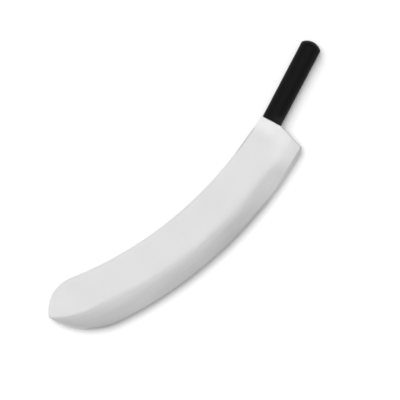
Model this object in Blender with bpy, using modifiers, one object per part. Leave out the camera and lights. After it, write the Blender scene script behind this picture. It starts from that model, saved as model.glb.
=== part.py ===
"""Curved mincing knife: a long blade cut from sheet steel, with a plastic handle moulded over its tang.

Metres, +Z up. The knife lies flat: +X runs along the handle towards the tip, and +Y points to the
cutting edge. The world origin is under the middle of the knife, on the surface that it lies on.
Both pieces are drawn in the handle's frame, whose origin is the middle of the handle's front face,
and an empty carries them to their place. Angles on the outline are measured from +Y towards +X.
"""

import math

import bmesh
import bpy
from mathutils import Vector

# Handle
HANDLE_LENGTH = 0.1358
HANDLE_WIDTH_FRONT = 0.0316
HANDLE_WIDTH_BUTT = 0.0322
HANDLE_THICKNESS = 0.022
CHEEK_WIDTH = 0.005  # the flat on each side of the grip
BUTT_ARC_DEPTH = 0.0074  # how far the end arc bulges, seen from above
BUTT_SIDE_RADIUS = 0.003  # where the end arc meets the sides
BUTT_DOME_DEPTH = 0.009  # over this length the cheeks round off to the end
BUTT_RINGS = 10
FRONT_CHEEK_RADIUS = 0.003
FRONT_SIDE_RADIUS = 0.0006
FRONT_RINGS = 3
SIDE_FACETS = 16  # round half of the grip

# Blade outline
EDGE_RADIUS = 0.638
EDGE_DROP = 0.0603  # from the handle's axis down to the edge, at the handle's front
EDGE_LENGTH = 0.5048  # along the edge's arc, from the handle's front to the tip's corner
BELLY_RADIUS = 0.111
SPINE_RADIUS = 0.5832
WIDTH_AT_NECK = 0.0817
WIDTH_AT_TIP = 0.0907
NECK_LENGTH = 0.058  # straight part of the spine
NECK_PROUD = 0.0009  # the sheet stands this far out of the handle on the spine's side
TIP_INSET = 0.0464  # from the edge's arc to the tip's corner
TIP_ANGLE = math.radians(72.5)  # between the edge's direction and the straight end of the tip
TIP_CORNER_RADIUS = 0.003
SHOULDER_RADIUS = 0.0515
HEEL_LEAN = math.radians(18)
HEEL_CORNER_RADIUS = 0.0035

# Sheet, grind and cutting edge
SHEET = 0.003
RIM_BREAK = 0.0004  # the broken corner all round the sheet
RIM_ANGLE = math.radians(60)  # only corners sharper than this are broken
GRIND_WIDTH_AT_HEEL = 0.032
GRIND_WIDTH_AT_BELLY = 0.0395
GRIND_CROWN = 1.7  # 1 is a steady curve, and more keeps the bevel straighter near the edge
GRIND_SHARES = (0.0, 0.17, 0.34, 0.51, 0.68, 0.84)  # of its width, where its curve has a point
GRIND_RUN_OUT = 1.15  # the curve's last slope is drawn longer by this much
GRIND_AT_HEEL = 0.18  # share of the full grind that is left at the heel
HEEL_FADE = 0.15  # length over which the grind grows to its full depth
BELLY_FADE = 2.2  # how late the grind narrows along the belly
BEHIND_EDGE = 0.0005  # thickness just behind the cutting bevel
EDGE_BEVEL = 0.0016
EDGE_THICKNESS = 0.0001
BLUNT_SHARE = 0.9  # past this share of the belly the cutting edge runs out towards the corner
NARROWEST_GRIND = 0.04  # share of the width that the grind still has where it leaves the sheet
LEAVING_LIFT = 0.0001  # there the cutter has risen this far above the sheet's face

# Tang
BUTT_WALL = 0.022  # plastic left between the tang's end and the butt
TANG_WIDTH_FRONT = 0.018
TANG_WIDTH_END = 0.014
TANG_HOLES = 3
TANG_HOLE_DIAMETER = 0.007

# Clearance, steps and overshoot
FIT_GAP = 0.0003
LONG_STEP = 0.012  # between points on the edge and the spine
SHORT_STEP = 0.004  # between points on the small arcs
FINE_STEP = 0.0012  # between points on corners and on the tang's end
ROUND_SIDES = 20  # of the tang's holes and the plugs in them
OVERSHOOT = 0.002  # how far a cutter runs past what it cuts
CLEAR = 1e-5  # the least that a cutter's end stands clear of a face

# Colours: linear red, green and blue
STEEL_COLOUR = (0.62, 0.62, 0.63, 1.0)
PLASTIC_COLOUR = (0.012, 0.012, 0.013, 1.0)

TANG_LENGTH = HANDLE_LENGTH - BUTT_WALL


# Plane geometry
def polar(centre, radius, angle):
    return centre + radius * Vector((math.sin(angle), math.cos(angle)))


def angle_of(vector):
    return math.atan2(vector.x, vector.y)


def arc(centre, radius, start, end, step):
    """Points on an arc from one angle to another, about one step apart."""
    count = max(2, math.ceil(abs(end - start) * radius / step))
    return [polar(centre, radius, start + (end - start) * i / count) for i in range(count + 1)]


def line_meets_circle(point, direction, centre, radius):
    """Distances along the line to its two crossings with the circle, the smaller first."""
    middle = (centre - point).dot(direction)
    off = (centre - point - middle * direction).length
    half = math.sqrt(radius**2 - off**2)
    return middle - half, middle + half


def circles_meet(first, first_radius, second, second_radius):
    """The two points that lie at these distances from the two centres."""
    apart = (second - first).length
    along = (first_radius**2 - second_radius**2 + apart**2) / (2 * apart)
    across = math.sqrt(first_radius**2 - along**2)
    forward = (second - first) / apart
    side = Vector((-forward.y, forward.x))
    return first + along * forward + across * side, first + along * forward - across * side


def smooth_step(share):
    share = min(max(share, 0.0), 1.0)
    return share * share * (3 - 2 * share)


# Edge and belly: two arcs that are tangent to each other, ending at the tip's corner
EDGE_CENTRE = Vector((0.0, EDGE_DROP - EDGE_RADIUS))
TIP_AT = EDGE_LENGTH / EDGE_RADIUS
TIP_CORNER = polar(EDGE_CENTRE, EDGE_RADIUS - TIP_INSET, TIP_AT)
BELLY_CENTRE = min(
    circles_meet(EDGE_CENTRE, EDGE_RADIUS - BELLY_RADIUS, TIP_CORNER, BELLY_RADIUS),
    key=lambda point: point.x,
)
BELLY_START = angle_of(BELLY_CENTRE - EDGE_CENTRE)
BELLY_END = angle_of(TIP_CORNER - BELLY_CENTRE)


def spine_centre():
    """Centre of the spine's circle, which gives the blade its width at the neck and at the tip."""
    neck = polar(EDGE_CENTRE, EDGE_RADIUS - WIDTH_AT_NECK, NECK_LENGTH / EDGE_RADIUS)
    tip = polar(EDGE_CENTRE, EDGE_RADIUS - WIDTH_AT_TIP, TIP_AT)
    return min(circles_meet(neck, SPINE_RADIUS, tip, SPINE_RADIUS), key=lambda point: point.y)


def heel_corner():
    """Centre of the heel's rounded corner, and the place where the heel starts at the handle."""
    start = Vector((FIT_GAP, HANDLE_WIDTH_FRONT / 2))
    along = polar(Vector((0, 0)), 1, HEEL_LEAN)
    inwards = Vector((along.y, -along.x))
    offset = start + HEEL_CORNER_RADIUS * inwards
    distance = line_meets_circle(offset, along, EDGE_CENTRE, EDGE_RADIUS - HEEL_CORNER_RADIUS)[1]
    return offset + distance * along, start


def blade_outline():
    """The sheet without its tang, counter-clockwise from the spine's side of the neck."""
    centre = spine_centre()
    heading = TIP_ANGLE - TIP_AT
    along = Vector((math.cos(heading), math.sin(heading)))
    inwards = Vector((-along.y, along.x))
    outwards = angle_of(-inwards) % math.tau

    offset = TIP_CORNER + SHOULDER_RADIUS * inwards
    distance = line_meets_circle(offset, along, centre, SPINE_RADIUS + SHOULDER_RADIUS)[1]
    shoulder = offset + distance * along
    shoulder_start = angle_of(centre - shoulder) % math.tau

    offset = TIP_CORNER + TIP_CORNER_RADIUS * inwards
    distance = line_meets_circle(offset, along, BELLY_CENTRE, BELLY_RADIUS - TIP_CORNER_RADIUS)[1]
    tip = offset + distance * along
    tip_end = angle_of(tip - BELLY_CENTRE)

    heel, heel_start = heel_corner()
    heel_end = angle_of(heel - EDGE_CENTRE)
    neck_end = math.asin((NECK_LENGTH - centre.x) / SPINE_RADIUS)
    spine_end = shoulder_start - math.pi

    points = [Vector((FIT_GAP, -HANDLE_WIDTH_FRONT / 2 - NECK_PROUD))]
    points += arc(centre, SPINE_RADIUS, neck_end, spine_end, LONG_STEP)
    points += arc(shoulder, SHOULDER_RADIUS, shoulder_start, outwards, SHORT_STEP)[1:]
    points += arc(tip, TIP_CORNER_RADIUS, outwards, tip_end, FINE_STEP)
    points += arc(BELLY_CENTRE, BELLY_RADIUS, tip_end, BELLY_START, SHORT_STEP)[1:]
    points += arc(EDGE_CENTRE, EDGE_RADIUS, BELLY_START, heel_end, LONG_STEP)[1:]
    points += arc(heel, HEEL_CORNER_RADIUS, heel_end, HEEL_LEAN - math.pi / 2, FINE_STEP)[1:]
    return points + [heel_start]


def tang_outline(grow, front):
    """The tang from above, wider and longer all round by grow, starting at x = front."""
    end_radius = TANG_WIDTH_END / 2 + grow
    end = Vector((end_radius - TANG_LENGTH - grow, 0))
    half = TANG_WIDTH_FRONT / 2 + grow
    points = [Vector((front, half))]
    points += arc(end, end_radius, 0, -math.pi, FINE_STEP)
    return points + [Vector((front, -half))]


def tang_hole_places():
    return [-TANG_LENGTH * (i + 0.5) / TANG_HOLES for i in range(TANG_HOLES)]


# Scene helpers
def material(name, colour, metallic, roughness):
    made = bpy.data.materials.new(name)
    made.use_nodes = True
    shader = made.node_tree.nodes["Principled BSDF"]
    shader.inputs["Base Color"].default_value = colour
    shader.inputs["Metallic"].default_value = metallic
    shader.inputs["Roughness"].default_value = roughness
    made.diffuse_color = colour
    return made


def collection(name):
    made = bpy.data.collections.new(name)
    bpy.context.scene.collection.children.link(made)
    return made


def add_object(name, mesh, group, parent):
    made = bpy.data.objects.new(name, mesh)
    group.objects.link(made)
    made.parent = parent
    return made


def flat_solid(name, outline, thickness, group, parent):
    """A closed mesh of this outline and thickness, about z = 0, from a filled curve."""
    curve = bpy.data.curves.new(name, "CURVE")
    curve.dimensions = "2D"
    curve.fill_mode = "BOTH"
    curve.extrude = thickness / 2
    spline = curve.splines.new("POLY")
    spline.points.add(len(outline) - 1)
    for spline_point, point in zip(spline.points, outline):
        spline_point.co = (point.x, point.y, 0, 1)
    spline.use_cyclic_u = True
    drawn = add_object(name + "_outline", curve, group, parent)
    graph = bpy.context.evaluated_depsgraph_get()
    mesh = bpy.data.meshes.new_from_object(drawn.evaluated_get(graph))
    bpy.data.objects.remove(drawn)
    mesh.name = name

    work = bmesh.new()
    work.from_mesh(mesh)
    bmesh.ops.remove_doubles(work, verts=work.verts, dist=1e-6)
    bmesh.ops.dissolve_limit(work, angle_limit=1e-3, verts=work.verts, edges=work.edges)
    bmesh.ops.recalc_face_normals(work, faces=work.faces)
    work.to_mesh(mesh)
    work.free()
    return add_object(name, mesh, group, parent)


def loft(name, rings, group, parent, apex=None):
    """A closed mesh through rings of as many points each, with flat ends, or with the last one drawn
    to an apex."""
    work = bmesh.new()
    loops = [[work.verts.new(point) for point in ring] for ring in rings]
    size = len(loops[0])
    for near, far in zip(loops, loops[1:]):
        for i in range(size):
            j = (i + 1) % size
            work.faces.new((near[i], near[j], far[j], far[i]))
    work.faces.new(loops[0])
    if apex is None:
        work.faces.new(loops[-1])
    else:
        point = work.verts.new(apex)
        for i in range(size):
            work.faces.new((loops[-1][i], loops[-1][(i + 1) % size], point))
    bmesh.ops.recalc_face_normals(work, faces=work.faces)
    mesh = bpy.data.meshes.new(name)
    work.to_mesh(mesh)
    work.free()
    return add_object(name, mesh, group, parent)


def add_rods(name, radius, group, parent):
    """Upright cylinders where the tang's holes are, longer than the tang is thick."""
    rods = []
    for number, x in enumerate(tang_hole_places(), 1):
        work = bmesh.new()
        bmesh.ops.create_cone(
            work,
            cap_ends=True,
            segments=ROUND_SIDES,
            radius1=radius,
            radius2=radius,
            depth=SHEET + 2 * OVERSHOOT,
        )
        mesh = bpy.data.meshes.new(f"{name}_{number}")
        work.to_mesh(mesh)
        work.free()
        rod = add_object(mesh.name, mesh, group, parent)
        rod.location.x = x
        rods.append(rod)
    return rods


def cut(target, cutter):
    cutter.hide_render = True
    cutter.display_type = "WIRE"
    step = target.modifiers.new(cutter.name, "BOOLEAN")
    step.operation = "DIFFERENCE"
    step.solver = "EXACT"
    step.object = cutter


def shade_round(target, sharp_angle):
    target.data.shade_smooth()
    target.data.set_sharp_from_angle(angle=math.radians(sharp_angle))


# Grind: what is ground away is a cutter lofted along the edge, and its lower side is the bevel
def grind_section(edge, inwards, width, depth, edge_half, lift=0.0):
    """One section of the upper cutter. Depth is what the grind takes off just behind the bevel."""
    half = SHEET / 2 + lift
    section = [(-OVERSHOOT, edge_half), (0.0, edge_half)]
    for share in GRIND_SHARES:
        rise = (GRIND_CROWN + 1) / GRIND_CROWN * share - share ** (GRIND_CROWN + 1) / GRIND_CROWN
        section.append((EDGE_BEVEL + width * share, half - depth * (1 - rise)))

    # The last slope runs on until it is clear of the flat, so that the cut ends at a clean line.
    inset, height = section[-1]
    inset += (EDGE_BEVEL + width - inset) * GRIND_RUN_OUT
    height += (half - height) * GRIND_RUN_OUT + CLEAR
    top = half + OVERSHOOT
    section += [(inset, height), (inset, top), (-OVERSHOOT, top)]
    return [(*(edge + inwards * inset), z) for inset, z in section]


def grind_sections():
    full_depth = (SHEET - BEHIND_EDGE) / 2
    sharp = EDGE_THICKNESS / 2
    heel = angle_of(heel_corner()[0] - EDGE_CENTRE)
    before_heel = heel - (GRIND_WIDTH_AT_HEEL * math.tan(HEEL_LEAN) + OVERSHOOT) / EDGE_RADIUS

    sections = []
    steps = math.ceil((BELLY_START - before_heel) * EDGE_RADIUS / LONG_STEP)
    for i in range(steps):
        angle = before_heel + (BELLY_START - before_heel) * i / steps
        grown = smooth_step((angle - heel) * EDGE_RADIUS / HEEL_FADE)
        depth = full_depth * (GRIND_AT_HEEL + (1 - GRIND_AT_HEEL) * grown)
        share = max((angle - heel) / (BELLY_START - heel), 0.0)
        width = GRIND_WIDTH_AT_HEEL + (GRIND_WIDTH_AT_BELLY - GRIND_WIDTH_AT_HEEL) * share
        edge = polar(EDGE_CENTRE, EDGE_RADIUS, angle)
        inwards = (EDGE_CENTRE - edge).normalized()
        sections.append(grind_section(edge, inwards, width - EDGE_BEVEL, depth, sharp))

    steps = math.ceil((BELLY_END - BELLY_START) * BELLY_RADIUS / SHORT_STEP)
    for i in range(steps + 1):
        share = i / steps
        edge = polar(BELLY_CENTRE, BELLY_RADIUS, BELLY_START + (BELLY_END - BELLY_START) * share)
        inwards = (BELLY_CENTRE - edge).normalized()
        ground = 1 - share**BELLY_FADE
        width = (GRIND_WIDTH_AT_BELLY - EDGE_BEVEL) * max(ground, NARROWEST_GRIND)
        blunt = smooth_step((share - BLUNT_SHARE) / (1 - BLUNT_SHARE))
        lift = LEAVING_LIFT * blunt
        edge_half = sharp + (SHEET / 2 + lift - sharp) * blunt
        sections.append(grind_section(edge, inwards, width, full_depth * ground, edge_half, lift))
    return sections


def add_blade(group, cutters, parent):
    outline = blade_outline() + tang_outline(0, FIT_GAP)
    blade = flat_solid("blade", outline, SHEET, group, parent)
    broken = blade.modifiers.new("rim_break", "BEVEL")
    broken.width = RIM_BREAK
    broken.segments = 1
    broken.limit_method = "ANGLE"
    broken.angle_limit = RIM_ANGLE

    upper = grind_sections()
    lower = [[(x, y, -z) for x, y, z in section] for section in upper]
    cut(blade, loft("upper_grind", upper, cutters, parent))
    cut(blade, loft("lower_grind", lower, cutters, parent))
    for hole in add_rods("tang_hole", TANG_HOLE_DIAMETER / 2, cutters, parent):
        cut(blade, hole)
    blade.data.materials.append(material("brushed_steel", STEEL_COLOUR, 1.0, 0.32))
    shade_round(blade, 20)
    return blade


# Handle: a loft of flat-cheeked ovals, with the tang's pocket cut into it
def half_width_at(from_butt):
    """Half the handle's width, seen from above, at a distance from its butt end."""
    share = from_butt / HANDLE_LENGTH
    side = (HANDLE_WIDTH_BUTT + (HANDLE_WIDTH_FRONT - HANDLE_WIDTH_BUTT) * share) / 2
    radius = (side**2 + BUTT_ARC_DEPTH**2) / (2 * BUTT_ARC_DEPTH)
    corner = BUTT_SIDE_RADIUS
    corner_across = side - corner
    corner_along = radius - math.sqrt((radius - corner) ** 2 - corner_across**2)
    arc_ends = radius - (radius - corner_along) * radius / (radius - corner)
    if from_butt <= arc_ends:
        return math.sqrt(radius**2 - (radius - from_butt) ** 2)
    if from_butt < corner_along:
        return corner_across + math.sqrt(corner**2 - (corner_along - from_butt) ** 2)
    return side


def rounded_off(full, depth, radius, distance):
    """A half size that grows from full - depth to full along a quarter of an ellipse."""
    if distance >= radius:
        return full
    return full - depth + depth * math.sqrt(1 - (1 - distance / radius) ** 2)


def round_shares(count):
    """Distances in from an end, as shares of the radius, of rings spread evenly round its rounding."""
    return [1 - math.cos(math.pi / 2 * i / count) for i in range(count + 1)]


def handle_section(x, half_width, half_thickness):
    """A ring of points: flat cheeks above and below, and half an ellipse on each side."""
    cheek = CHEEK_WIDTH / HANDLE_WIDTH_FRONT * half_width
    ring = []
    for i in range(SIDE_FACETS + 1):
        turn = math.pi * (i / SIDE_FACETS - 0.5)
        ring.append((x, cheek + (half_width - cheek) * math.cos(turn), half_thickness * math.sin(turn)))
    return ring + [(x, -y, -z) for x, y, z in ring]


def add_handle(group, cutters, parent):
    thick = HANDLE_THICKNESS / 2
    rings = []
    for share in round_shares(FRONT_RINGS):
        from_front = FRONT_CHEEK_RADIUS * share
        side = half_width_at(HANDLE_LENGTH - from_front)
        across = rounded_off(side, FRONT_SIDE_RADIUS, FRONT_SIDE_RADIUS, from_front)
        up = rounded_off(thick, FRONT_CHEEK_RADIUS, FRONT_CHEEK_RADIUS, from_front)
        rings.append(handle_section(-from_front, across, up))
    end_length = max(BUTT_DOME_DEPTH, BUTT_ARC_DEPTH + BUTT_SIDE_RADIUS / 2)
    for share in reversed(round_shares(BUTT_RINGS)[1:]):
        from_butt = end_length * share
        up = rounded_off(thick, thick, BUTT_DOME_DEPTH, from_butt)
        rings.append(handle_section(from_butt - HANDLE_LENGTH, half_width_at(from_butt), up))
    handle = loft("handle", rings, group, parent, apex=(-HANDLE_LENGTH, 0, 0))

    # The plastic fills the tang's holes, so the pocket leaves a plug standing in each.
    pocket_outline = tang_outline(FIT_GAP, OVERSHOOT)
    pocket = flat_solid("tang_pocket", pocket_outline, SHEET + 2 * FIT_GAP, cutters, parent)
    for plug in add_rods("plug", TANG_HOLE_DIAMETER / 2 - FIT_GAP, cutters, parent):
        cut(pocket, plug)
    cut(handle, pocket)
    handle.data.materials.append(material("black_plastic", PLASTIC_COLOUR, 0.0, 0.42))
    shade_round(handle, 35)
    return handle


def main():
    for old in list(bpy.data.objects):
        bpy.data.objects.remove(old)
    knife = collection("mincing_knife")
    cutters = collection("cutters")
    cutters.hide_render = True

    outline = blade_outline()
    middle_x = (max(point.x for point in outline) - HANDLE_LENGTH) / 2
    middle_y = (max(point.y for point in outline) + min(point.y for point in outline)) / 2
    origin = bpy.data.objects.new("handle_front", None)
    origin.location = (-middle_x, -middle_y, HANDLE_THICKNESS / 2)
    knife.objects.link(origin)
    bpy.context.view_layer.update()

    add_blade(knife, cutters, origin)
    add_handle(knife, cutters, origin)
    print("Handle's front face at x = %.4f, y = %.4f" % (-middle_x, -middle_y))


main()
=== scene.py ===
# %% [markdown]
# # A curved mincing knife
#
# This knife is two pieces: a long blade cut from one sheet of stainless steel, and a black plastic
# grip that is moulded over the blade's tang. The blade lies flat and is seen from straight above.
# We load the finished parts as a frame, model a finer blade and grip over them, give each its
# finish, and light them softly.

# %% Load the frame
import math

import bmesh
import bpy
from mathutils import Matrix, Vector


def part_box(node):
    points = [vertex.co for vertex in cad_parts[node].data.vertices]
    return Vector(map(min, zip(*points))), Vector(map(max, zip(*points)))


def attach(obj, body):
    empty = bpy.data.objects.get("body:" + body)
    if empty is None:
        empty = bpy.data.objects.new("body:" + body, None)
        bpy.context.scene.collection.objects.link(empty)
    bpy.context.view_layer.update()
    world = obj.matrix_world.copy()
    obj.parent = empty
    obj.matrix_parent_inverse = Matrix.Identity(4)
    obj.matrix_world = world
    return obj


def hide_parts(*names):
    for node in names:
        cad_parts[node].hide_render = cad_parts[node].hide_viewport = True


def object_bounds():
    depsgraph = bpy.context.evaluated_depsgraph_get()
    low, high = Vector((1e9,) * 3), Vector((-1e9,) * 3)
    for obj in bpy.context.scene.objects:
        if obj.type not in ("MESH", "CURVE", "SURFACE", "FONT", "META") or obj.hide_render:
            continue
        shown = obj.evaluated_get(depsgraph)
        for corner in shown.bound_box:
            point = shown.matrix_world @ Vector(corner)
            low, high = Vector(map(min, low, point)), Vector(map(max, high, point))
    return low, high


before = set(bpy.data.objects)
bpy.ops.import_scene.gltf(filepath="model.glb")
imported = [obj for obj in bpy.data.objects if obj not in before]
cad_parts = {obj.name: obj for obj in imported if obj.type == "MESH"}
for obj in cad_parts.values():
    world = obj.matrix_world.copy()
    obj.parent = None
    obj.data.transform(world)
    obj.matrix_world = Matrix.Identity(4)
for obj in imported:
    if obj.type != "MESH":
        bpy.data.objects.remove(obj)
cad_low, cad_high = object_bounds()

# %% [markdown]
# ## Where the pieces are
#
# Blade and grip meet at the grip's front face, so that is where we measure from. X runs along the
# grip towards the blade's tip, Y points to the cutting edge, and Z is up, square to the blade.

# %% The middle of the grip's front face
grip_low, grip_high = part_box("handle")
blade_low, blade_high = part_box("blade")
GRIP_LENGTH = grip_high.x - grip_low.x
FRONT = Vector((grip_high.x, (grip_low.y + grip_high.y) / 2, (grip_low.z + grip_high.z) / 2))
print("Grip %.1f mm long, its front at" % (GRIP_LENGTH * 1000), tuple(round(c, 4) for c in FRONT))
print("Blade's box", [round(c * 1000, 1) for c in blade_high - blade_low], "mm")

# %% [markdown]
# We model as by hand: with operators, in edit mode, on what is selected. An operator acts on all
# that is selected, so a few helpers start a piece from one point, select just what we need by its
# place, and apply a modifier.

# %% Helpers for edit mode
TOUCH = 1e-6  # points closer than this, in metres, are one


def add_at_front(name):
    """A single point at the grip's front, as a new object in edit mode, its origin the world's."""
    bpy.ops.object.select_all(action="DESELECT")
    bpy.ops.mesh.primitive_plane_add(size=0.001, location=FRONT)
    piece = bpy.context.object
    piece.name = piece.data.name = name
    bpy.ops.object.transform_apply(location=True)
    bpy.ops.object.mode_set(mode="EDIT")
    bpy.ops.mesh.merge(type="CENTER")
    return piece


def edit_mesh():
    return bmesh.from_edit_mesh(bpy.context.object.data)


def show_edit():
    bmesh.update_edit_mesh(bpy.context.object.data)


def select_only(test, kind="verts"):
    """Selects the points, edges or faces that pass the test, and nothing else."""
    bpy.ops.mesh.select_all(action="DESELECT")
    mode = {"verts": "VERT", "edges": "EDGE", "faces": "FACE"}[kind]
    bpy.ops.mesh.select_mode(type=mode)
    work = edit_mesh()
    chosen = [element for element in getattr(work, kind) if test(element)]
    for element in chosen:
        element.select_set(True)
    work.select_flush_mode()
    show_edit()
    return len(chosen)


def apply_modifier(piece, kind, **settings):
    step = piece.modifiers.new(kind.lower(), kind)
    for name, value in settings.items():
        setattr(step, name, value)
    bpy.context.view_layer.objects.active = piece
    bpy.ops.object.modifier_apply(modifier=step.name)


# %% [markdown]
# ## The blade's outline
#
# The sheet is cut to arcs and straight lines that run into each other. The cutting edge is one long
# arc, and a tighter one, the belly, carries it up to the tip's corner. We find the centres of all
# the arcs first, because both the outline and the ground bevel follow them.

# %% Sizes of the blade, in metres
SHEET = 0.003
GRIP_WIDTH = 0.0316
EDGE_RADIUS = 0.638
EDGE_DROP = 0.0603
EDGE_LENGTH = 0.5048
BELLY_RADIUS = 0.111
SPINE_RADIUS = 0.5832
WIDTH_AT_NECK = 0.0817
WIDTH_AT_TIP = 0.0907
NECK_LENGTH = 0.058
NECK_PROUD = 0.0009
TIP_INSET = 0.0464
TIP_ANGLE = math.radians(72.5)
TIP_CORNER_RADIUS = 0.003
SHOULDER_RADIUS = 0.0515
HEEL_LEAN = math.radians(18)
HEEL_CORNER_RADIUS = 0.0035
FIT = 0.00005  # the sheet's shoulders stand this far off the grip


# %% Plane geometry. Angles run from +Y towards +X
def polar(centre, radius, angle):
    return centre + radius * Vector((math.sin(angle), math.cos(angle)))


def angle_of(vector):
    return math.atan2(vector.x, vector.y)


def line_meets_circle(point, direction, centre, radius):
    """Distance along the line to its further crossing with the circle."""
    middle = (centre - point).dot(direction)
    off = (centre - point - middle * direction).length
    return middle + math.sqrt(radius**2 - off**2)


def circles_meet(first, first_radius, second, second_radius):
    """The two points that lie at these distances from the two centres."""
    apart = (second - first).length
    along = (first_radius**2 - second_radius**2 + apart**2) / (2 * apart)
    across = math.sqrt(max(first_radius**2 - along**2, 0.0))
    forward = (second - first) / apart
    side = Vector((-forward.y, forward.x))
    return first + along * forward + across * side, first + along * forward - across * side


# %% Edge and belly
edge_centre = Vector((0.0, EDGE_DROP - EDGE_RADIUS))
tip_at = EDGE_LENGTH / EDGE_RADIUS
tip_corner = polar(edge_centre, EDGE_RADIUS - TIP_INSET, tip_at)
belly_centre = min(
    circles_meet(edge_centre, EDGE_RADIUS - BELLY_RADIUS, tip_corner, BELLY_RADIUS),
    key=lambda point: point.x,
)
belly_start = angle_of(belly_centre - edge_centre)

# %% Spine, shoulder and tip
neck = polar(edge_centre, EDGE_RADIUS - WIDTH_AT_NECK, NECK_LENGTH / EDGE_RADIUS)
back = polar(edge_centre, EDGE_RADIUS - WIDTH_AT_TIP, tip_at)
spine_centre = min(circles_meet(neck, SPINE_RADIUS, back, SPINE_RADIUS), key=lambda point: point.y)

end_along = Vector((math.cos(TIP_ANGLE - tip_at), math.sin(TIP_ANGLE - tip_at)))
end_inwards = Vector((-end_along.y, end_along.x))
offset = tip_corner + SHOULDER_RADIUS * end_inwards
reach = line_meets_circle(offset, end_along, spine_centre, SPINE_RADIUS + SHOULDER_RADIUS)
shoulder_centre = offset + reach * end_along
offset = tip_corner + TIP_CORNER_RADIUS * end_inwards
reach = line_meets_circle(offset, end_along, belly_centre, BELLY_RADIUS - TIP_CORNER_RADIUS)
tip_centre = offset + reach * end_along
belly_end = angle_of(tip_centre - belly_centre)

# %% Heel
heel_start = Vector((FIT, GRIP_WIDTH / 2))
heel_along = polar(Vector((0, 0)), 1, HEEL_LEAN)
heel_inwards = Vector((heel_along.y, -heel_along.x))
offset = heel_start + HEEL_CORNER_RADIUS * heel_inwards
reach = line_meets_circle(offset, heel_along, edge_centre, EDGE_RADIUS - HEEL_CORNER_RADIUS)
heel_centre = offset + reach * heel_along
print("Edge arc to %.2f degrees, belly to %.1f degrees" % tuple(
    math.degrees(angle) for angle in (belly_start, belly_end)))

# %% [markdown]
# ## The ground bevel
#
# The sheet is ground thin along its lower 32 to 40 mm, and a narrow strip at the edge is honed. A
# wheel does the grinding, and a hand guides it, so the bevel isn't one even slope. It starts
# shallow at the heel, has its full depth after 150 mm, is steepest low down along most of the edge,
# and narrows to nothing where the belly meets the tip. So we give its slopes and its depth at a few
# places along the edge and blend between them.
#
# We model it in rows. The first row is the cutting edge, drawn by spinning one point about the
# centres of its two arcs. Each extrusion then adds a row, which we move inwards and up to the
# height of the grind there. That gives clean strips of faces which follow the edge, so light runs
# along them as it does on ground steel.

# %% Sizes of the grind
GRIND_WIDTH_AT_HEEL = 0.0315
GRIND_WIDTH_AT_BELLY = 0.0405
WIDENING = 1.6  # more than 1 makes the grind widen late
# At places along the edge, how steep the grind is at even steps from the edge to its top.
MIDDLE_SLOPES = (1.0, 0.97, 0.92, 0.84, 0.74, 0.61, 0.46, 0.25, 0.0)
SLOPES = (
    (0.036, (1.0, 0.93, 0.85, 0.72, 0.55, 0.35, 0.12, 0.04, 0.0)),
    (0.078, (0.9, 0.92, 0.97, 1.03, 1.1, 1.12, 0.88, 0.48, 0.0)),
    (0.155, MIDDLE_SLOPES),
    (0.300, MIDDLE_SLOPES),
    (0.420, (1.0, 0.93, 0.85, 0.75, 0.66, 0.58, 0.50, 0.38, 0.0)),
)
# And how deep it is, as a share of its full depth.
DEPTHS = ((0.040, (0.10,)), (0.080, (0.65,)), (0.150, (1.0,)))
BELLY_FADE = 1.88  # more than 1 makes the grind narrow late round the belly
# The honed strip is widest at the heel, where the steel behind it is thickest.
HONED_WIDTHS = ((0.022, (0.0026,)), (0.062, (0.0016,)))
BEHIND_EDGE = 0.0005  # thickness of the steel behind the honed strip
EDGE_THICKNESS = 0.0001
BLUNT_SHARE = 0.9  # past this share of the belly the edge grows blunt
GRIND_ROWS = 16
EDGE_STEPS = 150
BELLY_STEPS = 70


def smooth_step(share):
    share = min(max(share, 0.0), 1.0)
    return share * share * (3 - 2 * share)


def between(known, along):
    """The values at this place, blended from those that are known on either side of it."""
    values = known[0][1]
    for (near, _), (far, there) in zip(known, known[1:]):
        share = smooth_step((along - near) / (far - near))
        values = [value + (goal - value) * share for value, goal in zip(values, there)]
    return values


# %% Where the heel's outline is, at a distance in from the edge
heel_tangent = heel_centre - HEEL_CORNER_RADIUS * heel_inwards
corner_depth = EDGE_RADIUS - (heel_tangent - edge_centre).length


def heel_angle(inset):
    radius = EDGE_RADIUS - inset
    if inset < corner_depth:
        meeting = circles_meet(edge_centre, radius, heel_centre, HEEL_CORNER_RADIUS)
        point = min(meeting, key=lambda candidate: candidate.x)
    else:
        reach = line_meets_circle(heel_start, heel_along, edge_centre, radius)
        point = heel_start + reach * heel_along
    return angle_of(point - edge_centre)


# %% How far the grind has risen, from 0 at the edge to 1 at its top
def risen(along, steps):
    """Adds up the slopes over this many of the grind's rows."""
    slopes = between(SLOPES, along)
    heights = [0.0]
    for row in range(GRIND_ROWS):
        spot = (row + 0.5) / GRIND_ROWS * (len(slopes) - 1)
        near = int(spot)
        slope = slopes[near] + (slopes[near + 1] - slopes[near]) * (spot - near)
        heights.append(heights[-1] + slope)
    return heights[steps] / heights[-1]


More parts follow.
